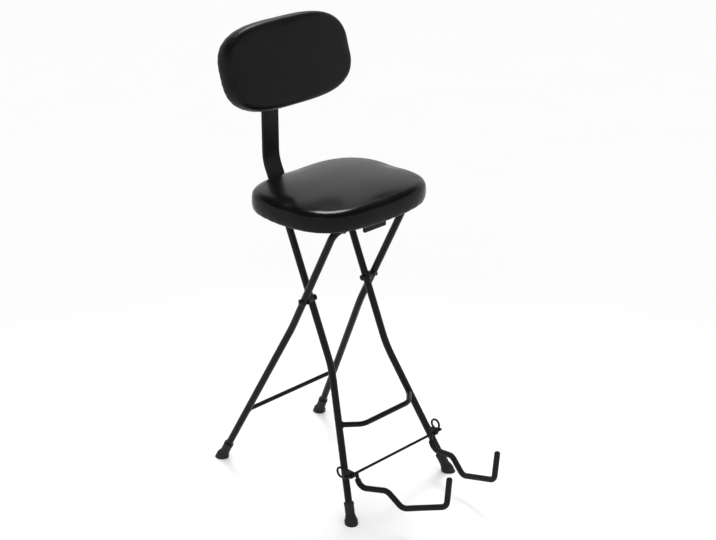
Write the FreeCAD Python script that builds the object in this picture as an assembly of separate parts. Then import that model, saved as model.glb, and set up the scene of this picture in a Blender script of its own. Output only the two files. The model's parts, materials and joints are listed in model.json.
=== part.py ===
import FreeCAD, Part
import math
import os

os.makedirs("parts", exist_ok=True)
V = FreeCAD.Vector

# A folding guitar stool.  The sitter faces -Y, +X is the sitter's left, +Z is up.
# All lengths are in millimetres and all angles in degrees.

# Legs and cross bars
foot_spread = 423.4
foot_half_width = 159.0
tube_dia = 16.0
tube_wall_thick = 1.5
frame_half_width = 86.0
pivot_gap = 5.0
front_bend_height = 304.0
rear_bend_height = 376.0
leg_bend_radius = 250.0
elbow_radius = 22.0
elbow_tail_length = 4.0
footrest_height = 193.0
footrest_bow_depth = 36.0
footrest_slant_width = 40.0
footrest_bend_radius = 34.0
footrest_dia = 12.0
stretcher_height = 141.0
stretcher_dia = 10.0

# Rubber feet
foot_height = 48.0
foot_top_dia = 22.0
foot_waist_dia = 21.0
foot_base_dia = 29.0
foot_sole_thick = 14.0
foot_skirt_height = 9.0
foot_flare_height = 21.0
foot_edge = 1.5

# Scissor pivot
pivot_bolt_dia = 8.0
pivot_head_dia = 15.0
pivot_head_height = 3.5
pivot_spacer_dia = 20.0
pivot_nut_width = 13.0
pivot_nut_height = 5.0
pivot_bolt_tail = 1.0

# Seat
seat_underside = 650.0
seat_half_width = 183.0
seat_half_depth = 148.5
seat_power = 3.0
seat_centre_ahead = 80.5
seat_rim_height = 40.0
seat_crown_height = 13.0
seat_roll_radius = 11.0
seat_board_thick = 12.0
seat_board_inset = 9.0

# Seat hinge on the top bar of the front frame
hinge_bar_back = 58.8
hinge_bar_drop = 22.0
hinge_block_width = 20.0
hinge_block_offset = 40.0
hinge_block_reach = 28.0
hinge_block_wall = 5.0
hinge_flange_thick = 5.0

# Catch on the top bar of the rear frame
rest_bar_ahead = 112.4
catch_width = 62.0
catch_plate_thick = 5.7
catch_lip_thick = 9.0
catch_lip_depth = 32.0
catch_tail_length = 34.0
catch_edge = 2.0

# Backrest bar and the channel that holds it under the seat
bar_width = 46.0
bar_thick = 6.0
bar_post_back = 135.0
bar_bend_rise = 49.0
bar_lean = 25.0
bar_top_rise = 306.0
bar_front_reach = 35.0
bar_bend_radius = 24.0
bar_sweep_radius = 95.0
guide_length = 90.0
guide_centre_front = 1.0
guide_sheet_thick = 2.5
guide_flange_width = 19.0

# Clamp knob under the channel
clamp_screw_dia = 8.0
clamp_nut_dia = 16.0
clamp_nut_height = 6.0
clamp_knob_dia = 34.0
clamp_knob_height = 15.0
clamp_knob_gap = 3.0
clamp_knob_floor = 4.0
clamp_knob_edge = 2.5

# Backrest pad
pad_half_width = 179.5
pad_half_height = 95.5
pad_power = 3.0
pad_rim_height = 36.0
pad_crown_height = 7.0
pad_roll_radius = 11.0
pad_board_thick = 9.0
pad_board_inset = 8.0
pad_tilt = 17.0
pad_centre_rise = 279.0
pad_stand_off = 20.0

# Tilt joint between the backrest bar and the pad
tilt_gap_to_bar = 17.5
tilt_bolt_dia = 8.0
tilt_knuckle_width = 24.0
tilt_eye_radius = 9.0
tilt_plate_width = 52.0
tilt_plate_height = 58.0
tilt_sheet_thick = 3.0
tilt_nut_width = 13.0
tilt_head_height = 5.5
tilt_nut_height = 7.0
tilt_bolt_tail = 2.0

# Guitar hanger
hanger_height = 101.0
hanger_stand_off = 21.0
hanger_rod_dia = 6.0
hanger_lug_width = 10.0
hanger_lug_radius = 7.0
hanger_eye_radius = 11.0
hanger_eye_wire_dia = 5.0
hanger_eye_gap = 7.6
hanger_eye_back = 14.5
hanger_eye_up = 9.0
hanger_arm_dia = 8.0
hanger_arm_inset = 15.0
hanger_knee_reach = 8.0
hanger_knee_drop = 34.0
hanger_step_reach = 70.0
hanger_step_rise = 15.0
hanger_dip_reach = 39.0
hanger_dip_drop = 31.0
hanger_cradle_reach = 106.0
hanger_cradle_rise = 40.0
hanger_tip_lean = 6.0
hanger_tip_height = 68.0
hanger_arm_taper = 42.0
hanger_bend_radius = 20.0
sleeve_dia = 13.0
sleeve_end = 4.0
sleeve_start = 18.0
sleeve_tip_radius = 4.5

# Wood screws
screw_dia = 4.0
screw_head_dia = 9.0
screw_head_height = 3.0
screw_bite_length = 9.0
screw_point_length = 2.0

# Clearances
running_fit = 0.05
side_gap = 0.3

# Values that follow from the ones above
tube_r = tube_dia / 2.0
rear_half_width = frame_half_width + tube_dia + pivot_gap
hinge_y = hinge_bar_back
hinge_z = seat_underside - hinge_bar_drop
rest_y = -rest_bar_ahead
rest_z = seat_underside - catch_plate_thick - side_gap - tube_r
front_slope = (foot_spread / 2.0 + hinge_y) / hinge_z
rear_slope = (foot_spread / 2.0 - rest_y) / rest_z
pivot_z = foot_spread / (front_slope + rear_slope)
pivot_y = pivot_z * front_slope - foot_spread / 2.0
seat_y = hinge_y - seat_centre_ahead
bar_mid_z = seat_underside - bar_thick / 2.0
bar_bend_z = seat_underside + bar_bend_rise
bar_top_z = seat_underside + bar_top_rise
pad_centre_z = seat_underside + pad_centre_rise
bar_post_y = hinge_y + bar_post_back


def front_point(offset, height):
    """A point of the front frame's plane."""
    return V(offset, height * front_slope - foot_spread / 2.0, height)


def rear_point(offset, height):
    """A point of the rear frame's plane."""
    return V(offset, foot_spread / 2.0 - height * rear_slope, height)


def unit(vector):
    """The vector scaled to length one."""
    return vector.multiply(1.0 / vector.Length)


def rounded_path(points, radii):
    """A wire of straight runs through the points with an arc at every inner point."""
    edges = []
    start = points[0]
    for index, radius in enumerate(radii):
        corner = points[index + 1]
        to_last = unit(points[index] - corner)
        to_next = unit(points[index + 2] - corner)
        half = to_last.getAngle(to_next) / 2.0
        run = radius / math.tan(half)
        arc_start = corner + to_last * run
        arc_end = corner + to_next * run
        middle = unit(to_last + to_next) * (radius / math.sin(half) - radius)
        edges.append(Part.makeLine(start, arc_start))
        edges.append(Part.Arc(arc_start, corner + middle, arc_end).toShape())
        start = arc_end
    edges.append(Part.makeLine(start, points[-1]))
    return Part.Wire(edges)


def round_sweep(points, radii, radius):
    """A round bar that follows the rounded path through the points."""
    path = rounded_path(points, radii)
    ring = Part.makeCircle(radius, points[0], points[1] - points[0])
    return path.makePipe(Part.Face(Part.Wire(ring))).Solids[0]


def rod(start, end, radius):
    """A straight round bar between two points."""
    return Part.makeCylinder(radius, (end - start).Length, start, end - start)


def prism_x(outline, x_start, width):
    """An outline of (y, z) pairs drawn at x_start and extruded along +X."""
    points = [V(x_start, y, z) for y, z in outline]
    face = Part.Face(Part.makePolygon(points + [points[0]]))
    return face.extrude(V(width, 0, 0))


def box(x_range, y_range, z_range):
    """A box between two values on each axis."""
    size = [high - low for low, high in (x_range, y_range, z_range)]
    return Part.makeBox(size[0], size[1], size[2], V(x_range[0], y_range[0], z_range[0]))


def revolved(profile, base, axis):
    """A profile of (radius, height) pairs turned about an axis through the base point."""
    points = [V(radius, 0, height) for radius, height in profile]
    face = Part.Face(Part.makePolygon(points + [points[0]]))
    solid = face.revolve(V(0, 0, 0), V(0, 0, 1), 360)
    turn = FreeCAD.Rotation(V(0, 0, 1), axis)
    solid.Placement = FreeCAD.Placement(base, turn)
    return solid


def rounded_oval(half_width, half_depth, power, height):
    """A closed smooth curve on the superellipse with the given half sizes and power."""
    points = []
    for step in range(40):
        angle = 2.0 * math.pi * (step + 0.5) / 40.0
        along, across = math.cos(angle), math.sin(angle)
        x = half_width * math.copysign(abs(along) ** (2.0 / power), along)
        y = half_depth * math.copysign(abs(across) ** (2.0 / power), across)
        points.append(V(x, y, height))
    curve = Part.BSplineCurve()
    curve.interpolate(points, PeriodicFlag=True)
    return Part.Wire(curve.toShape())


def cushion(half_width, half_depth, power, rim, crown, roll):
    """An upholstered pad on z = 0: straight sides, a domed top and a rolled edge."""
    wire = rounded_oval(half_width, half_depth, power, 0.0)
    sides_up = Part.Face(wire).extrude(V(0, 0, rim + 2.0 * crown))
    dome_r = (half_width ** 2 + crown ** 2) / (2.0 * crown)
    dome = Part.makeSphere(dome_r)
    turn = FreeCAD.Rotation(V(1, 0, 0), 90.0).multiply(FreeCAD.Rotation(V(0, 0, 1), -90.0))
    dome.Placement = FreeCAD.Placement(V(0, 0, rim + crown - dome_r), turn)
    pad_solid = sides_up.common(dome).Solids[0]
    top_edges = []
    for edge in pad_solid.Edges:
        if edge.BoundBox.ZMin > 0.4 * rim:
            top_edges.append(edge)
    return pad_solid.makeFillet(roll, top_edges)


def board(half_width, half_depth, power, inset, thick):
    """The plywood board that sits flush in the underside of a cushion."""
    wire = rounded_oval(half_width - inset, half_depth - inset, power, 0.0)
    return Part.Face(wire).extrude(V(0, 0, thick))


def wood_screw(point, inward, plate):
    """A pan-head screw whose head lies on a plate of the given thickness."""
    shank = screw_dia / 2.0
    head = screw_head_dia / 2.0
    profile = [(0, -screw_head_height), (0.55 * head, -screw_head_height)]
    profile += [(0.9 * head, -0.62 * screw_head_height), (head, -0.3 * screw_head_height)]
    profile += [(head, 0), (shank, 0), (shank, plate + screw_bite_length - screw_point_length)]
    profile += [(0, plate + screw_bite_length)]
    return revolved(profile, point, inward)


def hexagon(width, height, base, axis):
    """A hexagonal prism across the given flats, on the base point along the axis."""
    radius = width / math.sqrt(3.0)
    points = []
    for step in range(7):
        angle = math.radians(60.0 * step)
        points.append(V(radius * math.cos(angle), radius * math.sin(angle), 0))
    solid = Part.Face(Part.makePolygon(points)).extrude(V(0, 0, height))
    solid.Placement = FreeCAD.Placement(base, FreeCAD.Rotation(V(0, 0, 1), axis))
    return solid


def group(solids):
    """Several separate solids kept in one piece."""
    return Part.makeCompound(solids)


def leg_axis(place, side, half_width, bend_height, top_height):
    """Axis points of a leg: floor, bend, corner under the seat and inner end."""
    floor = place(side * foot_half_width, 0.0)
    bend = place(side * half_width, bend_height)
    corner = place(side * half_width, top_height)
    end = place(side * (half_width - elbow_radius - elbow_tail_length), top_height)
    return floor, bend, corner, end


def leg_solid(axis_points, radius):
    """A round bar along the leg axis, starting inside the rubber foot."""
    floor, bend, corner, end = axis_points
    start = floor + unit(bend - floor) * foot_sole_thick
    return round_sweep([start, bend, corner, end], [leg_bend_radius, elbow_radius], radius)


def foot(axis_points):
    """A flared rubber tip over the end of a leg, cut flat at the floor."""
    floor, bend = axis_points[0], axis_points[1]
    base = foot_base_dia / 2.0
    waist = foot_waist_dia / 2.0
    top = foot_top_dia / 2.0
    shoulder = foot_skirt_height + 2.0 * foot_edge
    profile = [(0, -base), (base, -base), (base, foot_skirt_height), (base - foot_edge, shoulder)]
    profile += [(waist, foot_flare_height), (waist, 0.8 * foot_height), (top, 0.84 * foot_height)]
    profile += [(top, foot_height - foot_edge), (top - foot_edge, foot_height)]
    profile += [(tube_r, foot_height), (tube_r, foot_sole_thick), (0, foot_sole_thick)]
    tip = revolved(profile, floor, bend - floor)
    wide = 4.0 * foot_base_dia
    ground = Part.makeBox(wide, wide, wide, V(floor.x - wide / 2.0, floor.y - wide / 2.0, -wide))
    return tip.cut(ground)


def leg_x(height):
    """Distance of the front leg's axis from the middle plane below the bend."""
    share = height / front_bend_height
    return foot_half_width + (frame_half_width - foot_half_width) * share


def rear_leg_x(height):
    """Distance of the rear leg's axis from the middle plane below the bend."""
    share = height / rear_bend_height
    return foot_half_width + (rear_half_width - foot_half_width) * share


pieces = {}
sides = (("left", 1.0), ("right", -1.0))

# Legs, their top bars and their feet
front_outer = []
rear_outer = []
for name, side in sides:
    axis = leg_axis(front_point, side, frame_half_width, front_bend_height, hinge_z)
    outer = leg_solid(axis, tube_r)
    front_outer.append(outer)
    bolt_line = V(side, 0, 0)
    bolt_reach = rear_half_width + tube_dia
    hole = Part.makeCylinder(pivot_bolt_dia / 2.0, bolt_reach, V(0, pivot_y, pivot_z), bolt_line)
    pieces["front_leg_" + name] = outer.cut(leg_solid(axis, tube_r - tube_wall_thick)).cut(hole)
    pieces["front_foot_" + name] = foot(axis)

    axis = leg_axis(rear_point, side, rear_half_width, rear_bend_height, rest_z)
    outer = leg_solid(axis, tube_r)
    rear_outer.append(outer)
    loose = pivot_bolt_dia / 2.0 + running_fit
    hole = Part.makeCylinder(loose, bolt_reach, V(0, pivot_y, pivot_z), bolt_line)
    pieces["rear_leg_" + name] = outer.cut(leg_solid(axis, tube_r - tube_wall_thick)).cut(hole)
    pieces["rear_foot_" + name] = foot(axis)


def top_bar(half_width, y, z):
    """The straight tube between the two elbows of a frame."""
    half = half_width - elbow_radius - elbow_tail_length
    outer = rod(V(-half, y, z), V(half, y, z), tube_r)
    return outer.cut(rod(V(-half, y, z), V(half, y, z), tube_r - tube_wall_thick))


pieces["hinge_bar"] = top_bar(frame_half_width, hinge_y, hinge_z)
pieces["rest_bar"] = top_bar(rear_half_width, rest_y, rest_z)

# Bowed footrest between the front legs, straight stretcher between the rear legs
end_x = leg_x(footrest_height)
end_left = front_point(end_x, footrest_height)
end_right = front_point(-end_x, footrest_height)
bow_y = end_left.y - footrest_bow_depth
bow_left = V(end_x - footrest_slant_width, bow_y, footrest_height)
bow_right = V(footrest_slant_width - end_x, bow_y, footrest_height)
footrest_points = [end_right, bow_right, bow_left, end_left]
bends = [footrest_bend_radius, footrest_bend_radius]
footrest = round_sweep(footrest_points, bends, footrest_dia / 2.0)
pieces["footrest_bar"] = footrest.cut(front_outer[0]).cut(front_outer[1])

end_x = rear_leg_x(stretcher_height)
end_left = rear_point(end_x, stretcher_height)
end_right = rear_point(-end_x, stretcher_height)
stretcher = rod(end_right, end_left, stretcher_dia / 2.0)
pieces["rear_stretcher"] = stretcher.cut(rear_outer[0]).cut(rear_outer[1])

# Scissor pivot: bolt from outside, spacer between the tubes, nut on the inside
bolts = []
spacers = []
nuts = []
for name, side in sides:
    outward = V(side, 0, 0)
    inner_face = side * (frame_half_width - tube_r)
    outer_face = side * (rear_half_width + tube_r + side_gap)
    shank_end = inner_face - side * (pivot_nut_height + pivot_bolt_tail)
    shank = rod(V(shank_end, pivot_y, pivot_z), V(outer_face, pivot_y, pivot_z), pivot_bolt_dia / 2.0)
    head_r = pivot_head_dia / 2.0
    head_profile = [(0, 0), (head_r, 0), (head_r, 0.35 * pivot_head_height)]
    head_profile += [(0.8 * head_r, 0.75 * pivot_head_height), (0.45 * head_r, pivot_head_height)]
    head_profile += [(0, pivot_head_height)]
    head = revolved(head_profile, V(outer_face, pivot_y, pivot_z), outward)
    bolts.append(shank.fuse(head).removeSplitter())

    spacer_start = V(side * frame_half_width, pivot_y, pivot_z)
    spacer_length = tube_r + pivot_gap - side_gap
    spacer = Part.makeCylinder(pivot_spacer_dia / 2.0, spacer_length, spacer_start, outward)
    bore = Part.makeCylinder(pivot_bolt_dia / 2.0, spacer_length, spacer_start, outward)
    leg = front_outer[0] if side > 0 else front_outer[1]
    spacer = spacer.cut(leg).cut(bore)
    spacers.append(max(spacer.Solids, key=lambda solid: abs(solid.CenterOfMass.x)))

    nut = hexagon(pivot_nut_width, pivot_nut_height, V(inner_face, pivot_y, pivot_z), -outward)
    nut_start = V(inner_face, pivot_y, pivot_z)
    bore = Part.makeCylinder(pivot_bolt_dia / 2.0, pivot_nut_height, nut_start, -outward)
    nuts.append(nut.cut(bore))
pieces["pivot_bolts"] = group(bolts)
pieces["pivot_spacers"] = group(spacers)
pieces["pivot_nuts"] = group(nuts)

# Seat board and cushion
seat_base = V(0, seat_y, seat_underside)
seat_board = board(seat_half_width, seat_half_depth, seat_power, seat_board_inset, seat_board_thick)
seat_pad = cushion(seat_half_width, seat_half_depth, seat_power,
                   seat_rim_height, seat_crown_height, seat_roll_radius)
seat_pad = seat_pad.cut(seat_board)
seat_board.translate(seat_base)
seat_pad.translate(seat_base)

# Hinge blocks that turn on the hinge bar
blocks = []
hinge_screws = []
flange_z = seat_underside - hinge_flange_thick
boss_r = tube_r + hinge_block_wall
for name, side in sides:
    x_start = side * hinge_block_offset - hinge_block_width / 2.0
    flange = box((x_start, x_start + hinge_block_width),
                 (hinge_y - hinge_block_reach, hinge_y + hinge_block_reach),
                 (flange_z, seat_underside))
    neck = box((x_start, x_start + hinge_block_width),
               (hinge_y - boss_r, hinge_y + boss_r), (hinge_z, seat_underside))
    axis_start = V(x_start, hinge_y, hinge_z)
    boss = Part.makeCylinder(boss_r, hinge_block_width, axis_start, V(1, 0, 0))
    bore = Part.makeCylinder(tube_r + running_fit, hinge_block_width, axis_start, V(1, 0, 0))
    block = flange.fuse(neck).fuse(boss).cut(bore).removeSplitter()
    for way in (-1.0, 1.0):
        spot_y = hinge_y + way * (boss_r + hinge_block_reach) / 2.0
        spot = V(side * hinge_block_offset, spot_y, flange_z)
        screw = wood_screw(spot, V(0, 0, 1), hinge_flange_thick)
        hinge_screws.append(screw)
        block = block.cut(screw)
    blocks.append(block)

# Catch that hooks over the rest bar
lip_back = rest_y - tube_r - 2.0 * side_gap
lip_front = lip_back - catch_lip_thick
plate_z = seat_underside - catch_plate_thick
catch_outline = [(lip_front, seat_underside), (rest_y + catch_tail_length, seat_underside)]
catch_outline += [(rest_y + catch_tail_length, plate_z), (lip_back, plate_z)]
lip_low = seat_underside - catch_lip_depth
catch_outline += [(lip_back, lip_low + catch_edge), (lip_back - catch_edge, lip_low)]
catch_outline += [(lip_front + catch_edge, lip_low), (lip_front, lip_low + catch_edge)]
catch = prism_x(catch_outline, -catch_width / 2.0, catch_width)
catch_screws = []
for way in (-1.0, 1.0):
    spot = V(way * 0.3 * catch_width, rest_y + 0.65 * catch_tail_length, plate_z)
    screw = wood_screw(spot, V(0, 0, 1), catch_plate_thick)
    catch_screws.append(screw)
    catch = catch.cut(screw)
pieces["front_catch"] = catch

# Channel under the seat that the backrest bar slides in
guide_y = seat_y + guide_centre_front
guide_span = (guide_y - guide_length / 2.0, guide_y + guide_length / 2.0)
inner_half = bar_width / 2.0 + side_gap
outer_half = inner_half + guide_sheet_thick
flange_half = outer_half + guide_flange_width
channel_top = seat_underside - bar_thick - side_gap
channel_low = channel_top - guide_sheet_thick
flange_low = seat_underside - guide_sheet_thick
guide = box((-outer_half, outer_half), guide_span, (channel_low, seat_underside))
guide = guide.fuse(box((-flange_half, flange_half), guide_span, (flange_low, seat_underside)))
guide = guide.cut(box((-inner_half, inner_half), guide_span, (channel_top, seat_underside)))
guide = guide.removeSplitter()
guide_screws = []
for x_way in (-1.0, 1.0):
    for y_way in (-1.0, 1.0):
        spot_x = x_way * (outer_half + 0.55 * guide_flange_width)
        spot = V(spot_x, guide_y + y_way * 0.34 * guide_length, flange_low)
        screw = wood_screw(spot, V(0, 0, 1), guide_sheet_thick)
        guide_screws.append(screw)
        guide = guide.cut(screw)
clamp_axis = V(0, guide_y, channel_low)
thread_r = clamp_screw_dia / 2.0 + running_fit
thread_start = V(0, guide_y, channel_low - clamp_nut_height)
thread_hole = Part.makeCylinder(thread_r, clamp_nut_height + guide_sheet_thick, thread_start, V(0, 0, 1))
pieces["bar_guide"] = guide.cut(thread_hole)
clamp_nut = hexagon(clamp_nut_dia, clamp_nut_height, clamp_axis, V(0, 0, -1))
pieces["clamp_nut"] = clamp_nut.cut(thread_hole)

for screw in hinge_screws + catch_screws + guide_screws:
    seat_board = seat_board.cut(screw)
pieces["seat_board"] = seat_board
pieces["seat_cushion"] = seat_pad
pieces["hinge_blocks"] = group(blocks)
pieces["hinge_screws"] = group(hinge_screws)
pieces["catch_screws"] = group(catch_screws)
pieces["guide_screws"] = group(guide_screws)

# Clamp screw with a lobed knob
knob_top = channel_low - clamp_nut_height - clamp_knob_gap
knob_low = knob_top - clamp_knob_height
screw_low = V(0, guide_y, knob_low + clamp_knob_floor)
screw_top = V(0, guide_y, seat_underside - bar_thick)
clamp_screw = rod(screw_low, screw_top, clamp_screw_dia / 2.0)
knob_r = clamp_knob_dia / 2.0
edge = clamp_knob_edge
knob_profile = [(0, 0), (0.72 * knob_r, 0), (0.95 * knob_r, edge), (knob_r, 2.0 * edge)]
knob_profile += [(knob_r, clamp_knob_height - 2.0 * edge), (0.8 * knob_r, clamp_knob_height - edge)]
knob_profile += [(0.45 * knob_r, clamp_knob_height), (0, clamp_knob_height)]
knob = revolved(knob_profile, V(0, guide_y, knob_low), V(0, 0, 1))
for step in range(6):
    angle = math.radians(60.0 * step)
    flute = 1.12 * knob_r
    spot = V(flute * math.cos(angle), guide_y + flute * math.sin(angle), knob_low)
    knob = knob.cut(Part.makeCylinder(0.3 * knob_r, clamp_knob_height, spot, V(0, 0, 1)))
pieces["clamp_knob"] = knob.cut(clamp_screw)
pieces["clamp_screw"] = clamp_screw

# Flat backrest bar bent up behind the seat
lean_run = (bar_bend_z - bar_mid_z) * math.tan(math.radians(bar_lean))
bar_front_y = guide_y - bar_front_reach
bar_points = [V(0, bar_front_y, bar_mid_z), V(0, bar_post_y - lean_run, bar_mid_z)]
bar_points += [V(0, bar_post_y, bar_bend_z), V(0, bar_post_y, bar_top_z)]
bar_path = rounded_path(bar_points, [bar_bend_radius, bar_sweep_radius])
half_w = bar_width / 2.0
half_t = bar_thick / 2.0
section = [V(-half_w, bar_front_y, bar_mid_z - half_t), V(half_w, bar_front_y, bar_mid_z - half_t)]
section += [V(half_w, bar_front_y, bar_mid_z + half_t), V(-half_w, bar_front_y, bar_mid_z + half_t)]
bar_face = Part.Face(Part.makePolygon(section + [section[0]]))
backrest_bar = bar_path.makePipe(bar_face).Solids[0]
corners = []
for edge in backrest_bar.Edges:
    centre = edge.CenterOfMass
    if abs(edge.Length - bar_thick) < 0.01 and abs(centre.z - bar_top_z) < 0.01:
        corners.append(edge)
backrest_bar = backrest_bar.makeFillet(0.3 * bar_width, corners)
pieces["backrest_bar"] = backrest_bar

# Tilt joint: a knuckle on the bar and a folded bracket on the pad, pinned by a bolt
tilt_rad = math.radians(pad_tilt)
tilt_y = bar_post_y - half_t - tilt_gap_to_bar
tilt_z = pad_centre_z - pad_stand_off * math.sin(tilt_rad)
bolt_r = tilt_bolt_dia / 2.0
knuckle_half = tilt_knuckle_width / 2.0
knuckle_start = V(-knuckle_half, tilt_y, tilt_z)
knuckle = Part.makeCylinder(tilt_eye_radius, tilt_knuckle_width, knuckle_start, V(1, 0, 0))
knuckle = knuckle.fuse(box((-knuckle_half, knuckle_half), (tilt_y, bar_post_y - half_t),
                           (tilt_z - tilt_eye_radius, tilt_z + tilt_eye_radius)))
knuckle_bore = Part.makeCylinder(bolt_r + running_fit, tilt_knuckle_width, knuckle_start, V(1, 0, 0))
pieces["tilt_knuckle"] = knuckle.cut(knuckle_bore).removeSplitter()

# The pad and its bracket are drawn lying flat, face up, then stood up and leaned back
ear_inner = knuckle_half + side_gap
ear_outer = ear_inner + tilt_sheet_thick
plate = box((-tilt_plate_width / 2.0, tilt_plate_width / 2.0),
            (-tilt_plate_height / 2.0, tilt_plate_height / 2.0), (-tilt_sheet_thick, 0))
bracket = plate
for way in (-1.0, 1.0):
    x_start = ear_inner if way > 0 else -ear_outer
    eye = Part.makeCylinder(tilt_eye_radius, tilt_sheet_thick, V(x_start, 0, -pad_stand_off), V(1, 0, 0))
    web_points = [(-tilt_eye_radius, -pad_stand_off), (tilt_eye_radius, -pad_stand_off)]
    web_points += [(1.8 * tilt_eye_radius, -tilt_sheet_thick), (-1.8 * tilt_eye_radius, -tilt_sheet_thick)]
    bracket = bracket.fuse(eye).fuse(prism_x(web_points, x_start, tilt_sheet_thick))
pin_left = V(ear_outer, 0, -pad_stand_off)
pin_right = V(-ear_outer, 0, -pad_stand_off)
bracket = bracket.cut(rod(pin_right, pin_left, bolt_r)).removeSplitter()
bolt_head = hexagon(tilt_nut_width, tilt_head_height, pin_left, V(1, 0, 0))
bolt_end = pin_right - V(tilt_nut_height + tilt_bolt_tail, 0, 0)
tilt_bolt = rod(bolt_end, pin_left, bolt_r).fuse(bolt_head)
tilt_nut = hexagon(tilt_nut_width, tilt_nut_height, pin_right, V(-1, 0, 0)).cut(tilt_bolt)

pad_board = board(pad_half_width, pad_half_height, pad_power, pad_board_inset, pad_board_thick)
pad = cushion(pad_half_width, pad_half_height, pad_power, pad_rim_height, pad_crown_height, pad_roll_radius)
pad = pad.cut(pad_board)
bracket_screws = []
for x_way in (-1.0, 1.0):
    for y_way in (-1.0, 1.0):
        spot = V(x_way * 0.38 * tilt_plate_width, y_way * 0.38 * tilt_plate_height, -tilt_sheet_thick)
        bracket_screws.append(wood_screw(spot, V(0, 0, 1), tilt_sheet_thick - screw_point_length))
for screw in bracket_screws:
    pad_board = pad_board.cut(screw)
    bracket = bracket.cut(screw)

# Local +Z becomes the pad's face direction: forward and, with the lean, slightly up
stand = FreeCAD.Rotation(V(1, 0, 0), 90.0 - pad_tilt)
pin = stand.multVec(V(0, 0, -pad_stand_off))
pad_place = FreeCAD.Placement(V(0, tilt_y, tilt_z) - pin, stand)
pad_parts = {"backrest_board": pad_board, "backrest_cushion": pad, "tilt_bracket": bracket,
             "tilt_bolt": tilt_bolt.removeSplitter(), "tilt_nut": tilt_nut,
             "bracket_screws": group(bracket_screws)}
for name, shape in pad_parts.items():
    shape.Placement = pad_place.multiply(shape.Placement)
    pieces[name] = shape

# Guitar hanger: cross rod with an eye at each end, two bent arms with rubber sleeves
rod_r = hanger_rod_dia / 2.0
wire_r = hanger_eye_wire_dia / 2.0
lug_x = leg_x(hanger_height)
rod_y = front_point(0, hanger_height).y - hanger_stand_off
rod_z = hanger_height
rod_half = lug_x + tube_r + hanger_eye_gap + wire_r
rod_tip = rod_half + rod_r
cross_rod = rod(V(-rod_tip, rod_y, rod_z), V(rod_tip, rod_y, rod_z), rod_r)
lugs = []
eyes = []
for index, (name, side) in enumerate(sides):
    rod_end = V(side * rod_half, rod_y, rod_z)
    eye_centre = rod_end + V(0, hanger_eye_back, hanger_eye_up)
    to_rod = unit(rod_end - eye_centre)
    eye = Part.makeTorus(hanger_eye_radius, wire_r, eye_centre, V(1, 0, 0))
    neck = rod(rod_end, eye_centre + to_rod * hanger_eye_radius, wire_r)
    eyes.append(eye.fuse(neck))
    x_start = side * lug_x - hanger_lug_width / 2.0
    lug_start = V(x_start, rod_y, rod_z)
    lug = Part.makeCylinder(hanger_lug_radius, hanger_lug_width, lug_start, V(1, 0, 0))
    lug = lug.fuse(box((x_start, x_start + hanger_lug_width), (rod_y, rod_y + hanger_stand_off),
                       (rod_z - hanger_lug_radius, rod_z + hanger_lug_radius)))
    bore = Part.makeCylinder(rod_r + running_fit, hanger_lug_width, lug_start, V(1, 0, 0))
    lug = lug.cut(front_outer[index]).cut(bore).removeSplitter()
    lugs.append(min(lug.Solids, key=lambda solid: solid.CenterOfMass.y))
pieces["hanger_lugs"] = group(lugs)
pieces["hanger_rod"] = cross_rod
pieces["hanger_eyes"] = group([eye.cut(cross_rod).removeSplitter() for eye in eyes])

arm_moves = [(hanger_step_reach, hanger_step_rise), (hanger_dip_reach, -hanger_dip_drop)]
arm_moves += [(hanger_cradle_reach, hanger_cradle_rise)]
arm_reach = hanger_step_reach + hanger_dip_reach + hanger_cradle_reach
for name, side in sides:
    root = V(side * (lug_x - hanger_arm_inset), rod_y, rod_z)
    knee = root + V(0, -hanger_knee_reach, -hanger_knee_drop)
    arm_points = [root, knee]
    for forward, rise in arm_moves:
        inward = -side * hanger_arm_taper * forward / arm_reach
        arm_points.append(arm_points[-1] + V(inward, -forward, rise))
    arm_points.append(arm_points[-1] + V(0, -hanger_tip_lean, hanger_tip_height))
    bends = [hanger_bend_radius] * 4
    arm = round_sweep(arm_points, bends, hanger_arm_dia / 2.0)
    cover_start = knee + unit(root - knee) * sleeve_start
    cover_end = arm_points[-1] + unit(arm_points[-1] - arm_points[-2]) * sleeve_end
    cover_points = [cover_start] + arm_points[1:-1] + [cover_end]
    sleeve = round_sweep(cover_points, bends, sleeve_dia / 2.0)
    tip_edges = [edge for edge in sleeve.Edges if edge.BoundBox.ZMin > rod_z + sleeve_dia]
    tip_edges = [edge for edge in tip_edges if edge.Closed]
    sleeve = sleeve.makeFillet(sleeve_tip_radius, tip_edges)
    pieces["arm_sleeve_" + name] = sleeve.cut(arm)
    pieces["hanger_arm_" + name] = arm.cut(cross_rod)

# The origin is the middle of the stool's floor rectangle
everything = Part.makeCompound(list(pieces.values()))
span = everything.optimalBoundingBox(False, False)
shift = V(0, -(span.YMin + span.YMax) / 2.0, 0)
for name, shape in pieces.items():
    moved = shape.copy()
    moved.translate(shift)
    moved.exportStep("parts/" + name + ".step")
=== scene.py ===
import json

import bpy
import numpy as np
from mathutils import Matrix, Vector


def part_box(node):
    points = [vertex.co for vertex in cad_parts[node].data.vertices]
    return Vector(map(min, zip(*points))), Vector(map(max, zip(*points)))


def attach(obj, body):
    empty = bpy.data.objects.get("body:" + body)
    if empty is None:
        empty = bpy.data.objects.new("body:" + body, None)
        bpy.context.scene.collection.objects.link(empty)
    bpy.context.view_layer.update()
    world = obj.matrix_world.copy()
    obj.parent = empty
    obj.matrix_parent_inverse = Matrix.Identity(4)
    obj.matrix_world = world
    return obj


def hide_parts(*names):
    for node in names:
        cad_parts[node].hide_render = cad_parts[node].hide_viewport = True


# A folding guitar stool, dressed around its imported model.
# Lengths are in metres.  The sitter faces -Y, +X is the sitter's left and +Z is up.

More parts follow.
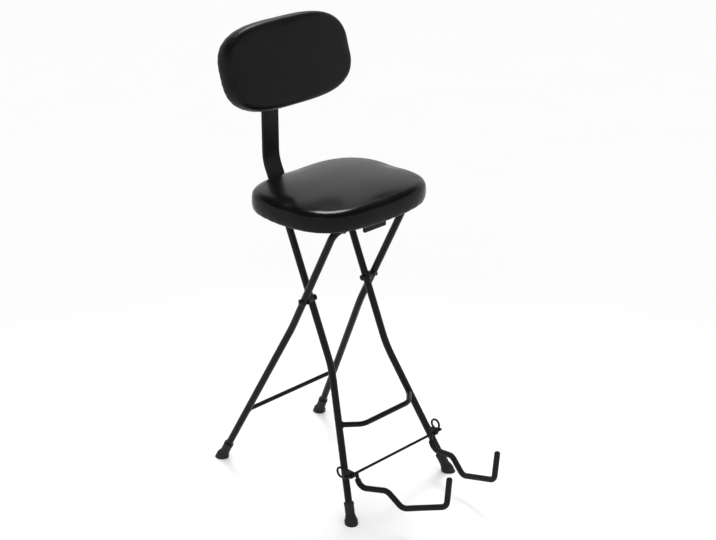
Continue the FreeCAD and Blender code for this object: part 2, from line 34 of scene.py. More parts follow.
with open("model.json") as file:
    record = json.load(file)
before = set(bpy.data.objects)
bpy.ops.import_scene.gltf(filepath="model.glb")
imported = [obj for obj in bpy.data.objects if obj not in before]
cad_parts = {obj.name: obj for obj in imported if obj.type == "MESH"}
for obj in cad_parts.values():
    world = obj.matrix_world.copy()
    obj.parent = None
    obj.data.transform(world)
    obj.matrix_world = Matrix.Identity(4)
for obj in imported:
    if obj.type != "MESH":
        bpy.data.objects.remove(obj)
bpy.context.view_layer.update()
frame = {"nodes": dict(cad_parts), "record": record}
nodes = frame["nodes"]
mounts = {mount["name"]: mount for mount in frame["record"]["mounts"]}
pivot = next(joint["pos_m"] for joint in frame["record"]["behaviour"]["joints"]
             if joint["name"] == "frame_fold")
scene = bpy.context.scene

# Covers: the oval's power, the fall of the crown, and the rolled edge's run inward and down
SEAT_SHAPE = {"power": 3.0, "crown": 0.0075, "roll_in": 0.022, "roll_down": 0.012}
BACK_SHAPE = {"power": 3.0, "crown": 0.0045, "roll_in": 0.013, "roll_down": 0.012}
CROWN_POWER = 2.2
SWELL = 0.0008          # how far the side stands out at half its height
TUCK = 0.002            # how far the side draws in at the board
TUCK_POWER = 4
BOARD_GAP = 0.0003      # room left round the board
CROWN_STEPS = 48
ROLL_STEPS = 24
SIDE_STEPS = 20
COVER_RINGS = 40

# Stuffing: each cover is cut smaller by the slack, then swells by no more than that
COVER_SLACK = 0.0025
STUFFING_PRESSURE = 4.0
VINYL_STRETCH = 8.0
VINYL_BEND = 3.0
STUFFING_FRAMES = 20
CALMING_ROUNDS = 12

# Hems and staples on the back of the boards
BAR_NOTCH = 0.034       # half width left free for the backrest bar
HEM_WIDTH = 0.015
HEM_THICK = 0.0009
HEM_WANDER = 0.06
HEM_WAVES = (23.0, 41.0)
HEM_LAG = 1.0
HEM_RISE = 180.0        # the hem is full thick after one part in this many of its length
HEM_FLATNESS = 0.4
HEM_STEPS = 361
HEM_RUNS = 9
STAPLES_ROUND = 40
STAPLE_SPAN = 0.010
STAPLE_WIRE = 0.0006
STAPLE_INSET = 0.008
STAPLE_SINK = 1.4
STAPLE_POWER = 8
STAPLE_STEPS = 13
WIRE_SIDES = 8
TURN_STEP = 0.01        # a small angle, for the outline's direction at a staple
STAPLE_PULL = 0.0012
PULL_HEIGHT = 0.016
PULL_RIM = 0.955

# Steel: where the legs bend (half width, height), and the bars that are welded to them
FRONT_BEND = (0.086, 0.304)
REAR_BEND = (0.107, 0.376)
TUBE_RADIUS = 0.008
FOOTREST_RADIUS = 0.006
FOOTREST_SLANT = (0.040, 0.036)
STRETCHER_RADIUS = 0.005
WELD_RADIUS = 0.0017
WELD_STEPS = 96
WELD_SIDES = 12
WELD_RIPPLES = 24
RIPPLE_SHARE = 0.2

# Screw heads with a cross recess
SCREW_HEAD_RADIUS = 0.0045
SCREW_HEAD_HEIGHT = 0.003
DOME_POWER = 6
CROSS_DEPTH = 0.0016
CROSS_ARM = 0.0026
CROSS_HALF_WIDTH = 0.0006
CROSS_SLOPE = 0.0005
HEAD_RINGS = 18

# Sockets of a Mix node that mixes colours: its two colours and its result
MIX_FIRST = 6
MIX_LAST = 7
MIX_RESULT = 2
SEAT_GLOSS = 0.21
BACK_GLOSS = 0.42

# Camera that matches the photograph: sensor and lens in millimetres, its place and the
# direction from the stool back to it
SENSOR_WIDTH = 36.0
LENS = 82.15
CAMERA_PLACE = (-2.3343, -2.2506, 1.8856)
CAMERA_BACK = (-0.6601, -0.6425, 0.3893)

# Studio: the floor, and between which slopes of view the walls dim to the ceiling's light
FLOOR_HALF = 9.0
FLOOR_POINTS = 5
CEILING_FROM = 0.44
CEILING_TO = 0.60
CEILING_LIGHT = 0.08


# Meshes from arrays

def mesh_piece(name, points, faces):
    """An object from an array of points and an array of faces, smooth shaded."""
    mesh = bpy.data.meshes.new(name)
    mesh.from_pydata(points.tolist(), [], faces.tolist())
    mesh.polygons.foreach_set("use_smooth", np.ones(len(mesh.polygons), bool))
    mesh.update()
    piece = bpy.data.objects.new(name, mesh)
    scene.collection.objects.link(piece)
    return piece


def grid_faces(rows, columns, round_rows=False, round_columns=False):
    """Quads of a grid of rows by columns points, each row stored after the last.

    They face the way of the cross product of down the rows and along them.  The last row or
    column is joined to the first where the grid goes round.
    """
    row = np.arange(rows if round_rows else rows - 1)[:, None]
    column = np.arange(columns if round_columns else columns - 1)[None, :]
    below = (row + 1) % rows
    beside = (column + 1) % columns
    corners = [row * columns + column, below * columns + column, below * columns + beside,
               row * columns + beside]
    return np.stack(corners, -1).reshape(-1, 4)


def repeated(faces, points_each, count):
    """Faces of many copies of one grid, stored one after the other."""
    return (faces[None] + (points_each * np.arange(count))[:, None, None]).reshape(-1, 4)


def circle(count):
    """Angles of evenly spaced points round a circle."""
    return np.linspace(0.0, 2.0 * np.pi, count + 1)[:-1]


# Cushions

def even_section(section, share):
    """Points of a section line at the given shares of its length, one array for each column."""
    steps = np.linalg.norm(np.diff(section, axis=0), axis=1)
    length = np.concatenate([[0.0], np.cumsum(steps)])
    place = share * length[-1]
    return [np.interp(place, length, column) for column in section.T]


def square_rings(rings):
    """A square grid of points: its two directions and its ring numbers from 0 to 1.

    A point (u, v) of the square lies on ring max(|u|, |v|), so that the grid has no pole.
    """
    line = np.linspace(-1.0, 1.0, 2 * rings + 1)
    u, v = np.meshgrid(line, line, indexing="ij")
    return u, v, np.maximum(np.abs(u), np.abs(v))


def rounded_oval(u, v, half_x, half_y, power):
    """The point of a superellipse |x/a|^n + |y/b|^n = 1 in the direction of (u, v)."""
    size = (np.abs(u) ** power + np.abs(v) ** power) ** (1.0 / power)
    size = np.where(size == 0.0, 1.0, size)
    return half_x * u / size, half_y * v / size


def cover_sheet(power, section):
    """One sheet of a cover: the section line is carried round a rounded oval.

    Ring 0 is the middle.  Each point of the section gives the oval's two half sizes and its
    height, and the rings are spread evenly along the line.
    """
    u, v, ring = square_rings(COVER_RINGS)
    half_x, half_y, height = even_section(section, ring)
    x, y = rounded_oval(u, v, half_x, half_y, power)
    return np.stack([x, y, height], -1)


def ringed(half_x, half_y, inset, height):
    """Section points whose ovals lie inside the given half sizes by the insets."""
    return np.stack([half_x - inset, half_y - inset, height], -1)


def cushion_sheets(size, shape, board):
    """The top sheet and the underside sheet of a closed cushion on z = 0.

    The top is a crown that falls with a power of the distance from the middle, then a quarter
    ellipse for the rolled edge, then a side that swells by a sine and tucks under the board.
    The underside is flat, with a recess for the board.
    """
    half_x, half_y, height = size
    shoulder = height - shape["crown"]
    low = shoulder - shape["roll_down"]
    out = np.linspace(0.0, 1.0, CROWN_STEPS)
    turn = np.linspace(0.0, np.pi / 2.0, ROLL_STEPS)[1:]
    down = np.linspace(0.0, 1.0, SIDE_STEPS)[1:]
    top = np.stack([(half_x - shape["roll_in"]) * out, (half_y - shape["roll_in"]) * out,
                    height - shape["crown"] * out ** CROWN_POWER], -1)
    roll = ringed(half_x, half_y, shape["roll_in"] * (1.0 - np.sin(turn)),
                  shoulder - shape["roll_down"] * (1.0 - np.cos(turn)))
    side = ringed(half_x, half_y, TUCK * down ** TUCK_POWER - SWELL * np.sin(np.pi * down),
                  low * (1.0 - down))
    upper = cover_sheet(shape["power"], np.concatenate([top, roll, side]))
    board_x, board_y, board_thick = board
    deep = board_thick + BOARD_GAP
    under = np.array([[0.0, 0.0, deep],
                      [board_x, board_y, deep],
                      [board_x + BOARD_GAP, board_y + BOARD_GAP, deep - BOARD_GAP],
                      [board_x + 2.0 * BOARD_GAP, board_y + 2.0 * BOARD_GAP, 0.0],
                      [half_x - TUCK, half_y - TUCK, 0.0]])
    lower = cover_sheet(shape["power"], under)
    return upper, lower


def join_sheets(upper, lower):
    """Points and faces of two sheets sewn along their edges, both facing outward."""
    rows, columns = upper.shape[:2]
    points = np.concatenate([upper.reshape(-1, 3), lower.reshape(-1, 3)])
    faces = grid_faces(rows, columns)
    under = faces[:, ::-1] + rows * columns
    edge = np.ones((rows, columns), bool)
    edge[1:-1, 1:-1] = False
    sewn = np.arange(2 * rows * columns)
    sewn[rows * columns:][edge.ravel()] = np.flatnonzero(edge.ravel())
    kept, number = np.unique(sewn, return_inverse=True)
    return points[kept], number[np.concatenate([faces, under])]


def calmed(move, mesh):
    """Moves evened out between neighbours, as a foam pad evens out the puckers of a thin cover."""
    edges = np.empty(2 * len(mesh.edges), int)
    mesh.edges.foreach_get("vertices", edges)
    first, second = edges.reshape(-1, 2).T
    neighbours = np.bincount(edges)[:, None]
    for _ in range(CALMING_ROUNDS):
        total = np.zeros_like(move)
        np.add.at(total, first, move[second])
        np.add.at(total, second, move[first])
        move = 0.5 * (move + total / neighbours)
    return move


def stuff(piece, held, most):
    """Swells a cover by cloth simulation with pressure.

    Each point's move is cut to the given distance and the moves are evened out.  Held points
    stay where they are.
    """
    mesh = piece.data
    start = np.empty(3 * len(mesh.vertices))
    mesh.vertices.foreach_get("co", start)
    start = start.reshape(-1, 3)
    group = piece.vertex_groups.new(name="held")
    group.add(np.flatnonzero(held).tolist(), 1.0, "REPLACE")
    cloth = piece.modifiers.new("stuffing", "CLOTH")
    cloth.settings.use_pressure = True
    cloth.settings.uniform_pressure_force = STUFFING_PRESSURE
    cloth.settings.vertex_group_mass = "held"
    cloth.settings.tension_stiffness = VINYL_STRETCH
    cloth.settings.compression_stiffness = VINYL_STRETCH
    cloth.settings.bending_stiffness = VINYL_BEND
    cloth.settings.effector_weights.gravity = 0.0
    cloth.point_cache.frame_end = STUFFING_FRAMES
    for number in range(1, STUFFING_FRAMES + 1):
        scene.frame_set(number)
    shaped = piece.evaluated_get(bpy.context.evaluated_depsgraph_get()).data
    swelled = np.empty(3 * len(shaped.vertices))
    shaped.vertices.foreach_get("co", swelled)
    move = swelled.reshape(-1, 3) - start
    length = np.linalg.norm(move, axis=1, keepdims=True)
    move = calmed(move * most / np.maximum(length, most), mesh)
    move[held] = 0.0
    piece.modifiers.remove(cloth)
    piece.vertex_groups.remove(group)
    scene.frame_set(1)
    mesh.vertices.foreach_set("co", (start + move).ravel())
    mesh.update()


def edit_points(piece, change):
    """Puts a piece's points through a function of the whole array."""
    points = np.empty(3 * len(piece.data.vertices))
    piece.data.vertices.foreach_get("co", points)
    piece.data.vertices.foreach_set("co", change(points.reshape(-1, 3)).ravel())
    piece.data.update()


def fit_to(points, size):
    """Stretches a cover the little way that is left to its cushion's exact size."""
    return points * size / points.max(0)


def pull_edge(points, size, power):
    """Draws a cover's lower edge in at every staple.

    The pull follows a raised cosine round the edge, one wave to a staple, and fades with the
    square of the height and away from the rim.
    """
    across = points[:, :2] / size[:2]
    rim = (np.abs(across) ** power).sum(1) ** (1.0 / power)
    angle = np.arctan2(across[:, 1], across[:, 0])
    fade = np.clip(1.0 - points[:, 2] / PULL_HEIGHT, 0.0, 1.0) ** 2
    fade = fade * np.clip((rim - PULL_RIM) / (1.0 - PULL_RIM), 0.0, 1.0)
    pull = STAPLE_PULL * fade * (0.5 - 0.5 * np.cos(STAPLES_ROUND * angle))
    inward = np.stack([np.cos(angle), np.sin(angle), np.zeros_like(angle)], -1)
    return points - pull[:, None] * inward


def upholstered(name, size, shape, board):
    """A stuffed cover lying flat on z = 0, cut smaller than the cushion by the cover's slack."""
    upper, lower = cushion_sheets(size - COVER_SLACK, shape, board)
    points, faces = join_sheets(upper, lower)
    piece = mesh_piece(name, points, faces)
    held = np.arange(len(points)) >= upper.shape[0] * upper.shape[1]
    stuff(piece, held, COVER_SLACK)
    edit_points(piece, lambda points: fit_to(points, size))
    edit_points(piece, lambda points: pull_edge(points, size, shape["power"]))
    finer = piece.modifiers.new("fine", "SUBSURF")
    finer.levels = 1
    finer.render_levels = 1
    return piece


def box_of(node):
    """Lowest and highest corner of a node as arrays."""
    low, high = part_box(node)
    return np.array(low), np.array(high)


def node_points(node, turn):
    """A node's points in a turned frame whose axes are the columns of the turn."""
    mesh = nodes[node].data
    points = np.empty(3 * len(mesh.vertices))
    mesh.vertices.foreach_get("co", points)
    return points.reshape(-1, 3) @ turn


def cover_over(name, cushion, board, shape, turn):
    """A cover as large as a cushion node, with a recess for its board node, stood in its place.

    The columns of the turn are the cushion's own width, height and face directions.
    """
    pad = node_points(cushion, turn)
    wood = node_points(board, turn)
    low, high = pad.min(0), pad.max(0)
    half = (high - low) / 2.0
    wood_half = (wood.max(0) - wood.min(0)) / 2.0
    size = np.array([half[0], half[1], 2.0 * half[2]])
    piece = upholstered(name, size, shape, (wood_half[0], wood_half[1], 2.0 * wood_half[2]))
    middle = (low + high) / 2.0
    stand = Matrix(turn.tolist()).to_4x4()
    piece.data.transform(stand @ Matrix.Translation((middle[0], middle[1], low[2])))
    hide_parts(cushion)
    return piece


def board_outline(board, shape, inset, angle):
    """Points of a board's outline, moved inward, at angles counted from the middle of its rear."""
    half = (board.max(0) - board.min(0)) / 2.0
    middle = (board.max(0) + board.min(0)) / 2.0
    turned = angle + np.pi / 2.0
    x, y = rounded_oval(np.cos(turned), np.sin(turned), half[0] - inset, half[1] - inset,
                        shape["power"])
    return x + middle[0], y + middle[1]


def hem_strip(name, board, shape, turn, notch):
    """The vinyl's edge folded over the back of a board, as a strip that follows its outline.

    Along the strip runs the angle, from one side of the notch for the backrest bar to the other.
    Across it the inset grows from nothing to the hem's width, whose free edge wanders by two
    sines, and the thickness is a flattened half sine that runs out at both ends.
    """
    skip = np.arcsin(2.0 * notch / np.ptp(board[:, 0]))
    share = np.linspace(0.0, 1.0, HEM_STEPS)[:, None]
    angle = skip + share * 2.0 * (np.pi - skip)
    across = np.linspace(0.0, 1.0, HEM_RUNS)[None, :]
    slow, fast = HEM_WAVES
    wander = 1.0 + HEM_WANDER * (np.sin(slow * angle) + np.sin(fast * angle + HEM_LAG))
    x, y = board_outline(board, shape, HEM_WIDTH * across * wander, angle)
    ends = np.minimum(1.0, HEM_RISE * np.minimum(share, 1.0 - share))
    z = board[:, 2].min() - HEM_THICK * ends * np.sin(np.pi * across) ** HEM_FLATNESS
    points = np.stack([x, y, z], -1)
    faces = grid_faces(*points.shape[:2])[:, ::-1]
    piece = mesh_piece(name, points.reshape(-1, 3) @ turn.T, faces)
    piece.data.materials.append(finishes["black_vinyl"])
    return piece


def staples(name, board, shape, turn, notch):
    """Staples round the hem: one small arched bar, repeated along the outline.

    Along a staple u runs from -1 to 1, and its height falls with a high power of u, so that only
    its ends go down into the hem; v goes round the wire.
    """
    angle = 2.0 * np.pi * (np.arange(STAPLES_ROUND) + 0.5) / STAPLES_ROUND
    skip = np.arcsin(2.0 * (notch + STAPLE_SPAN) / np.ptp(board[:, 0]))
    angle = angle[(angle > skip) & (angle < 2.0 * np.pi - skip)]
    spots = np.stack(board_outline(board, shape, STAPLE_INSET, angle), -1)
    along = np.stack(board_outline(board, shape, STAPLE_INSET, angle + TURN_STEP), -1) - spots
    along /= np.linalg.norm(along, axis=1, keepdims=True)
    beside = np.stack([-along[:, 1], along[:, 0]], -1)
    u = np.linspace(-1.0, 1.0, STAPLE_STEPS)[:, None]
    v = circle(WIRE_SIDES)[None, :]
    run, side = np.broadcast_arrays(0.5 * STAPLE_SPAN * u, STAPLE_WIRE * np.cos(v))
    rise = STAPLE_WIRE * np.sin(v) + HEM_THICK * (1.0 - STAPLE_SINK * u ** STAPLE_POWER)
    flat = (spots[:, None, None, :] + run[None, :, :, None] * along[:, None, None, :]
            + side[None, :, :, None] * beside[:, None, None, :])
    height = np.broadcast_to(board[:, 2].min() - rise, flat.shape[:3])
    points = np.concatenate([flat, height[..., None]], -1).reshape(-1, 3)
    faces = repeated(grid_faces(*run.shape, round_columns=True), run.size, len(spots))
    piece = mesh_piece(name, points @ turn.T, faces)
    piece.data.materials.append(finishes["zinc_steel"])
    return piece


def facing(node):
    """Axes of a board node as columns: its width, its height and the way its pad faces.

    The face direction is the normal of the board's largest face, turned to the front.
    """
    mesh = nodes[node].data
    areas = np.empty(len(mesh.polygons))
    mesh.polygons.foreach_get("area", areas)
    normals = np.empty(3 * len(mesh.polygons))
    mesh.polygons.foreach_get("normal", normals)
    face = normals.reshape(-1, 3)[areas.argmax()]
    face = face if face[1] < 0.0 else -face
    across = np.array([1.0, 0.0, 0.0])
    return np.stack([across, np.cross(face, across), face], 1)


def upholster(body, name, finish, shape, turn, notch):
    """A cover, its stapled hem and its staples on one body."""
    cover = cover_over(name + "_cover", name + "_cushion", name + "_board", shape, turn)
    cover.data.materials.append(finish)
    board = node_points(name + "_board", turn)
    hem = hem_strip(name + "_hem", board, shape, turn, notch)
    pins = staples(name + "_staples", board, shape, turn, notch)
    for piece in (cover, hem, pins):
        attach(piece, body)


# Welds and screws

def weld_bead(path):
    """A weld bead: a round section carried along a closed path, its radius rippling by a sine.

    The section's two axes are the way out from the path's middle, taken square to the path, and
    the cross product of the path's direction with that.
    """
    ahead = np.roll(path, -1, 0) - np.roll(path, 1, 0)
    ahead /= np.linalg.norm(ahead, axis=1, keepdims=True)
    normal = path - path.mean(0)
    normal -= (normal * ahead).sum(1, keepdims=True) * ahead
    normal /= np.linalg.norm(normal, axis=1, keepdims=True)
    other = np.cross(ahead, normal)
    count = len(path)
    turn = circle(WELD_SIDES)[None, :, None]
    ripple = np.sin(2.0 * np.pi * WELD_RIPPLES * np.arange(count) / count)
    radius = WELD_RADIUS * (1.0 + RIPPLE_SHARE * ripple)
    section = np.cos(turn) * normal[:, None, :] + np.sin(turn) * other[:, None, :]
    return path[:, None, :] + radius[:, None, None] * section


def coped_path(end, axis, radius, leg_point, leg_axis):
    """Where a round bar meets a leg tube: points round the bar, pushed along it to the tube.

    The push s solves |w + s a| = tube radius, with w and a taken square to the leg.
    """
    turn = circle(WELD_STEPS)[:, None]
    first = np.cross(axis, leg_axis)
    first /= np.linalg.norm(first)
    second = np.cross(axis, first)
    round_bar = end + radius * (np.cos(turn) * first + np.sin(turn) * second)
    gap = round_bar - leg_point
    gap = gap - (gap @ leg_axis)[:, None] * leg_axis
    push = axis - (axis @ leg_axis) * leg_axis
    a = push @ push
    b = gap @ push
    c = (gap * gap).sum(1) - TUBE_RADIUS ** 2
    share = (-b - np.sqrt(np.maximum(b * b - a * c, 0.0))) / a
    return round_bar + share[:, None] * axis


def butt_path(middle):
    """A circle round a straight tube along X."""
    turn = circle(WELD_STEPS)
    return middle + TUBE_RADIUS * np.stack([np.zeros_like(turn), np.cos(turn), np.sin(turn)], -1)


def welds(name, body, paths):
    """All the weld beads of one body in one piece."""
    beads = np.stack([weld_bead(path) for path in paths])
    count, rows, columns = beads.shape[:3]
    faces = repeated(grid_faces(rows, columns, True, True)[:, ::-1], rows * columns, count)
    piece = mesh_piece(name, beads.reshape(-1, 3), faces)
    piece.data.materials.append(finishes["black_steel"])
    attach(piece, body)


def leg_line(foot, bend):
    """Floor point and direction of the leg that stands on a foot mount."""
    floor_point = np.array(mounts[foot]["pos_m"])
    side = np.sign(floor_point[0])
    share = bend[1] / pivot[2]
    depth = floor_point[1] + (pivot[1] - floor_point[1]) * share
    there = np.array([side * bend[0], depth, bend[1]])
    return floor_point, (there - floor_point) / np.linalg.norm(there - floor_point)


def at_height(line, height):
    """Point of a leg line at a height."""
    return line[0] + line[1] * (height / line[1][2])


def top_bar_paths(bar):
    """Circles at both ends of a top bar."""
    low, high = box_of(bar)
    middle = (low + high) / 2.0
    return [butt_path(np.array([x, middle[1], middle[2]])) for x in (low[0], high[0])]


def frame_welds():
    """Beads where the footrest and the stretcher meet the legs and at the top bars' ends."""
    footrest_low, footrest_high = box_of("footrest_bar")
    height = (footrest_low[2] + footrest_high[2]) / 2.0
    front = []
    for foot, side in (("front_left_foot", 1.0), ("front_right_foot", -1.0)):
        line = leg_line(foot, FRONT_BEND)
        axis = np.array([side * FOOTREST_SLANT[0], FOOTREST_SLANT[1], 0.0])
        axis /= np.linalg.norm(axis)
        front.append(coped_path(at_height(line, height), axis, FOOTREST_RADIUS, *line))
    front += top_bar_paths("hinge_bar")
    welds("front_welds", "front_frame", front)
    bar_low, bar_high = box_of("rear_stretcher")
    height = (bar_low[2] + bar_high[2]) / 2.0
    rear = []
    for foot, side in (("rear_left_foot", 1.0), ("rear_right_foot", -1.0)):
        line = leg_line(foot, REAR_BEND)
        axis = np.array([side, 0.0, 0.0])
        rear.append(coped_path(at_height(line, height), axis, STRETCHER_RADIUS, *line))
    rear += top_bar_paths("rest_bar")
    welds("rear_welds", "rear_frame", rear)


def cross_head():
    """A pan head with a cross recess, hanging below its plate, on a grid without a pole.

    The head is a flattened dome: its height times the root of one less a power of the radius.
    The recess is sunk where a point is within a bar's half width of one axis of the cross and
    within an arm's length along it, with sloping sides.
    """
    u, v, ring = square_rings(HEAD_RINGS)
    x, y = rounded_oval(u, v, SCREW_HEAD_RADIUS * ring, SCREW_HEAD_RADIUS * ring, 2.0)
    dome = SCREW_HEAD_HEIGHT * np.sqrt(1.0 - ring ** DOME_POWER)
    across = np.maximum(np.minimum(np.abs(x), np.abs(y)) - CROSS_HALF_WIDTH,
                        np.maximum(np.abs(x), np.abs(y)) - CROSS_ARM)
    sunk = np.clip(0.5 - across / CROSS_SLOPE, 0.0, 1.0)
    return np.stack([x, y, CROSS_DEPTH * sunk - dome], -1)


def head_spots(node, turn):
    """Where the heads of a group of screws lie: the corners of its box, moved in by a radius."""
    points = node_points(node, turn)
    low = points.min(0) + SCREW_HEAD_RADIUS
    high = points.max(0) - SCREW_HEAD_RADIUS
    plate = points[:, 2].min() + SCREW_HEAD_HEIGHT
    rows = (low[1], high[1]) if high[1] - low[1] > SCREW_HEAD_RADIUS else (low[1],)
    return [(x, y, plate) for x in (low[0], high[0]) for y in rows]


def screw_heads(name, body, screws, turn):
    """Recessed heads in place of groups of screws."""
    spots = np.array([spot for node in screws for spot in head_spots(node, turn)])
    head = cross_head()
    rows, columns = head.shape[:2]
    points = (spots[:, None, None, :] + head[None]).reshape(-1, 3)
    faces = repeated(grid_faces(rows, columns)[:, ::-1], rows * columns, len(spots))
    piece = mesh_piece(name, points @ turn.T, faces)
    piece.data.materials.append(finishes["zinc_steel"])
    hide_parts(*screws)
    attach(piece, body)


# Finishes

class Finish:
    """A material being built: a shader, Object coordinates and helpers that add to them.

    The plain colour and roughness are what a viewer shows that leaves the nodes out.
    """

    def __init__(self, name, colour, roughness, specular=0.5, metallic=0.0):
        self.material = bpy.data.materials.new(name)
        self.material.use_nodes = True
        self.tree = self.material.node_tree
        self.shader = self.tree.nodes["Principled BSDF"]
        self.shader.inputs["Base Color"].default_value = (*colour, 1.0)
        self.shader.inputs["Roughness"].default_value = roughness
        self.shader.inputs["Specular IOR Level"].default_value = specular
        self.shader.inputs["Metallic"].default_value = metallic
        self.place = self.tree.nodes.new("ShaderNodeTexCoord").outputs["Object"]
        self.normal = None

    def stretched(self, scale):
        """Object coordinates stretched by a scale along each axis."""
        node = self.tree.nodes.new("ShaderNodeMapping")
        node.inputs["Scale"].default_value = scale
        self.tree.links.new(self.place, node.inputs["Vector"])
        return node.outputs["Vector"]

    def noise(self, scale, detail=3.0, place=None):
        """Fine noise with about that many waves a metre."""
        node = self.tree.nodes.new("ShaderNodeTexNoise")
        node.inputs["Scale"].default_value = scale
        node.inputs["Detail"].default_value = detail
        self.tree.links.new(place or self.place, node.inputs["Vector"])
        return node.outputs["Fac"]

    def cells(self, scale):
        """Cells as in leather grain or foam, with about that many a metre."""
        node = self.tree.nodes.new("ShaderNodeTexVoronoi")
        node.inputs["Scale"].default_value = scale
        self.tree.links.new(self.place, node.inputs["Vector"])
        return node.outputs["Distance"]

    def range(self, value, low, high, first=0.0, last=1.0):
        """A value moved from one range to another."""
        node = self.tree.nodes.new("ShaderNodeMapRange")
        node.inputs["From Min"].default_value = first
        node.inputs["From Max"].default_value = last
        node.inputs["To Min"].default_value = low
        node.inputs["To Max"].default_value = high
        self.tree.links.new(value, node.inputs["Value"])
        return node.outputs["Result"]

    def colour(self, value, first, last):
        """The base colour runs from one colour to another with the value."""
        node = self.tree.nodes.new("ShaderNodeMix")
        node.data_type = "RGBA"
        node.inputs[MIX_FIRST].default_value = (*first, 1.0)
        node.inputs[MIX_LAST].default_value = (*last, 1.0)
        self.tree.links.new(value, node.inputs["Factor"])
        self.tree.links.new(node.outputs[MIX_RESULT], self.shader.inputs["Base Color"])

    def roughness(self, value):
        """The roughness follows the value."""
        self.tree.links.new(value, self.shader.inputs["Roughness"])

    def bump(self, value, height, strength=1.0):
        """Raises the surface by up to the height, on top of earlier bumps."""
        node = self.tree.nodes.new("ShaderNodeBump")
        node.inputs["Distance"].default_value = height
        node.inputs["Strength"].default_value = strength
        self.tree.links.new(value, node.inputs["Height"])
        if self.normal:
            self.tree.links.new(self.normal, node.inputs["Normal"])
        self.normal = node.outputs["Normal"]
        self.tree.links.new(self.normal, self.shader.inputs["Normal"])


def grey(level):
    """A colour with no hue."""
    return level, level, level


def powder_coat():
    """Satin black powder coat on steel tube: faint orange peel and uneven gloss."""
    finish = Finish("powder_coat", grey(0.003), roughness=0.32, specular=0.15)
    finish.colour(finish.noise(14.0), grey(0.002), grey(0.005))
    finish.roughness(finish.range(finish.noise(60.0), 0.28, 0.40))
    finish.bump(finish.noise(650.0, detail=2.0), height=0.0002, strength=0.35)
    return finish.material


def zinc_plate():
    """Bright zinc on bolts, nuts and screws, with fine turning marks."""
    finish = Finish("zinc_plate", (0.55, 0.56, 0.58), roughness=0.30, specular=0.5, metallic=1.0)
    finish.colour(finish.noise(180.0), (0.46, 0.47, 0.49), (0.62, 0.63, 0.64))
    finish.roughness(finish.range(finish.noise(420.0), 0.24, 0.42))
    finish.bump(finish.noise(1900.0, detail=1.0), height=0.0001, strength=0.3)
    return finish.material


def foot_rubber():
    """Dark grey moulded rubber with a dusty, slightly uneven skin."""
    finish = Finish("foot_rubber", grey(0.012), roughness=0.66, specular=0.25)
    finish.colour(finish.noise(45.0), grey(0.007), grey(0.018))
    finish.roughness(finish.range(finish.noise(120.0), 0.60, 0.80))
    finish.bump(finish.noise(1400.0, detail=2.0), height=0.0002, strength=0.5)
    return finish.material


def sleeve_rubber():
    """Soft black sleeve rubber with the fine pores of foam."""
    finish = Finish("sleeve_rubber", grey(0.006), roughness=0.66, specular=0.2)
    finish.colour(finish.cells(900.0), grey(0.003), grey(0.009))
    finish.roughness(finish.range(finish.noise(90.0), 0.62, 0.82))
    finish.bump(finish.cells(1100.0), height=0.0003, strength=0.5)
    return finish.material


def moulded_plastic():
    """Black moulded nylon with a spark-eroded texture."""
    finish = Finish("moulded_plastic", grey(0.008), roughness=0.46, specular=0.3)
    finish.colour(finish.noise(30.0), grey(0.005), grey(0.012))
    finish.roughness(finish.range(finish.noise(200.0), 0.42, 0.56))
    finish.bump(finish.noise(1700.0, detail=2.0), height=0.00015, strength=0.4)
    return finish.material


def vinyl(name, gloss):
    """Black upholstery vinyl: pressed leather grain, a thin coat and slow changes of gloss.

    The gloss is the mean roughness: a low value shines.
    """
    finish = Finish(name, grey(0.003), roughness=gloss, specular=0.10)
    finish.shader.inputs["Coat Weight"].default_value = 0.06
    finish.shader.inputs["Coat Roughness"].default_value = 0.5 * gloss
    finish.colour(finish.noise(22.0), (0.002, 0.0021, 0.0022), (0.0045, 0.0047, 0.0048))
    finish.roughness(finish.range(finish.noise(35.0), gloss - 0.04, gloss + 0.05))
    finish.bump(finish.cells(760.0), height=0.0002, strength=0.22)
    finish.bump(finish.noise(14.0, detail=2.0), height=0.0006, strength=0.2)
    return finish.material


def stained_plywood():
    """Plywood stained black, with a long grain that still shows across the board."""
    finish = Finish("stained_plywood", (0.020, 0.018, 0.016), roughness=0.62, specular=0.3)
    grain = finish.noise(1.0, detail=5.0, place=finish.stretched((9.0, 130.0, 130.0)))
    streaks = finish.range(grain, 0.0, 1.0, first=0.3, last=0.7)
    finish.colour(streaks, (0.010, 0.009, 0.008), (0.034, 0.030, 0.026))
    finish.roughness(finish.range(grain, 0.55, 0.72))
    finish.bump(grain, height=0.0003, strength=0.5)
    return finish.material


def dress_nodes(finishes):
    """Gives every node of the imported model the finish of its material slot."""
    for node in nodes.values():
        for slot in node.material_slots:
            slot.material = finishes[slot.material.name.split(".")[0]]


# Studio

def floor_finish():
    """A white floor that takes the stool's shadow."""
    finish = Finish("studio_floor", grey(0.98), roughness=0.9, specular=0.1)
    finish.colour(finish.noise(3.0), grey(0.97), grey(0.985))
    return finish.material


def floor():
    """A flat square grid far wider than the stool."""
    line = np.linspace(-FLOOR_HALF, FLOOR_HALF, FLOOR_POINTS)
    x, y = np.meshgrid(line, line, indexing="ij")
    points = np.stack([x, y, np.zeros_like(x)], -1).reshape(-1, 3)
    piece = mesh_piece("studio_floor", points, grid_faces(FLOOR_POINTS, FLOOR_POINTS))
    piece.data.materials.append(floor_finish())


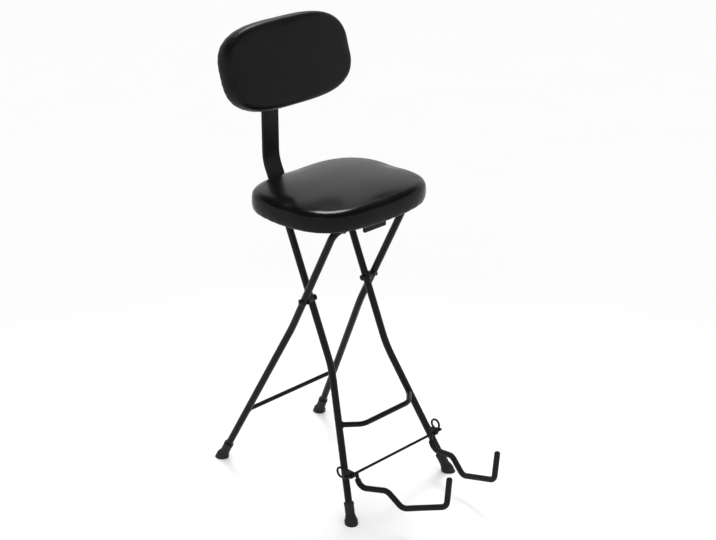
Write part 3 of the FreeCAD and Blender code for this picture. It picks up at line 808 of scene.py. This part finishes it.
def walls(tree):
    """White all round up to a dimmer ceiling, by the height of the direction looked in."""
    way = tree.nodes.new("ShaderNodeTexCoord").outputs["Generated"]
    split = tree.nodes.new("ShaderNodeSeparateXYZ")
    tree.links.new(way, split.inputs[0])
    ramp = tree.nodes.new("ShaderNodeMapRange")
    ramp.interpolation_type = "SMOOTHSTEP"
    ramp.inputs["From Min"].default_value = CEILING_FROM
    ramp.inputs["From Max"].default_value = CEILING_TO
    ramp.inputs["To Min"].default_value = 1.0
    ramp.inputs["To Max"].default_value = CEILING_LIGHT
    tree.links.new(split.outputs["Z"], ramp.inputs["Value"])
    return ramp.outputs["Result"]


def sky():
    """Soft light from all round, and the white walls where the camera, metal or glass looks."""
    world = bpy.data.worlds.new("studio")
    scene.world = world
    world.use_nodes = True
    tree = world.node_tree
    tree.nodes.clear()
    path = tree.nodes.new("ShaderNodeLightPath")
    shown = path.outputs["Is Camera Ray"]
    for ray in ("Is Transmission Ray", "Is Glossy Ray"):
        either = tree.nodes.new("ShaderNodeMath")
        either.operation = "MAXIMUM"
        tree.links.new(shown, either.inputs[0])
        tree.links.new(path.outputs[ray], either.inputs[1])
        shown = either.outputs[0]
    soft = tree.nodes.new("ShaderNodeBackground")
    soft.inputs["Color"].default_value = (*grey(1.0), 1.0)
    soft.inputs["Strength"].default_value = 1.0
    white = tree.nodes.new("ShaderNodeBackground")
    white.inputs["Strength"].default_value = 1.0
    tree.links.new(walls(tree), white.inputs["Color"])
    mixed = tree.nodes.new("ShaderNodeMixShader")
    out = tree.nodes.new("ShaderNodeOutputWorld")
    tree.links.new(shown, mixed.inputs["Fac"])
    tree.links.new(soft.outputs[0], mixed.inputs[1])
    tree.links.new(white.outputs[0], mixed.inputs[2])
    tree.links.new(mixed.outputs[0], out.inputs["Surface"])


def lamp(name, place, aim, size, watts, spread):
    """A square soft box at a place, turned towards the aim, its spread an angle in degrees."""
    light = bpy.data.lights.new(name, "AREA")
    light.size = size
    light.energy = watts
    light.spread = np.radians(spread)
    piece = bpy.data.objects.new(name, light)
    piece.location = place
    piece.rotation_euler = (Vector(place) - Vector(aim)).to_track_quat("Z", "Y").to_euler()
    scene.collection.objects.link(piece)


def camera():
    """The camera at the photograph's place and angle."""
    lens = bpy.data.cameras.new("camera")
    lens.sensor_fit = "HORIZONTAL"
    lens.sensor_width = SENSOR_WIDTH
    lens.lens = LENS
    piece = bpy.data.objects.new("camera", lens)
    piece.location = CAMERA_PLACE
    piece.rotation_euler = Vector(CAMERA_BACK).to_track_quat("Z", "Y").to_euler()
    scene.collection.objects.link(piece)
    scene.camera = piece


finishes = {
    "black_steel": powder_coat(),
    "zinc_steel": zinc_plate(),
    "foot_rubber": foot_rubber(),
    "sleeve_rubber": sleeve_rubber(),
    "black_plastic": moulded_plastic(),
    "black_vinyl": vinyl("seat_vinyl", SEAT_GLOSS),
    "plywood": stained_plywood(),
}
dress_nodes(finishes)

# The seat lies level, and its hem leaves room for the backrest bar; the backrest leans
level = np.eye(3)
leaned = facing("backrest_board")
backrest_vinyl = vinyl("backrest_vinyl", BACK_GLOSS)
upholster("seat", "seat", finishes["black_vinyl"], SEAT_SHAPE, level, notch=BAR_NOTCH)
upholster("backrest", "backrest", backrest_vinyl, BACK_SHAPE, leaned, notch=0.0)
frame_welds()
screw_heads("seat_screw_heads", "seat", ["hinge_screws", "catch_screws", "guide_screws"], level)
screw_heads("backrest_screw_heads", "backrest", ["bracket_screws"], leaned)

scene.view_settings.view_transform = "Standard"
floor()
sky()
lamp("back_box", (0.90, 0.96, 2.5), aim=(-0.1, -0.02, 0.68), size=0.7, watts=3.6, spread=60.0)
lamp("key", (-2.6, -1.2, 2.9), aim=(0.0, 0.0, 0.5), size=1.6, watts=7.0, spread=180.0)
camera()
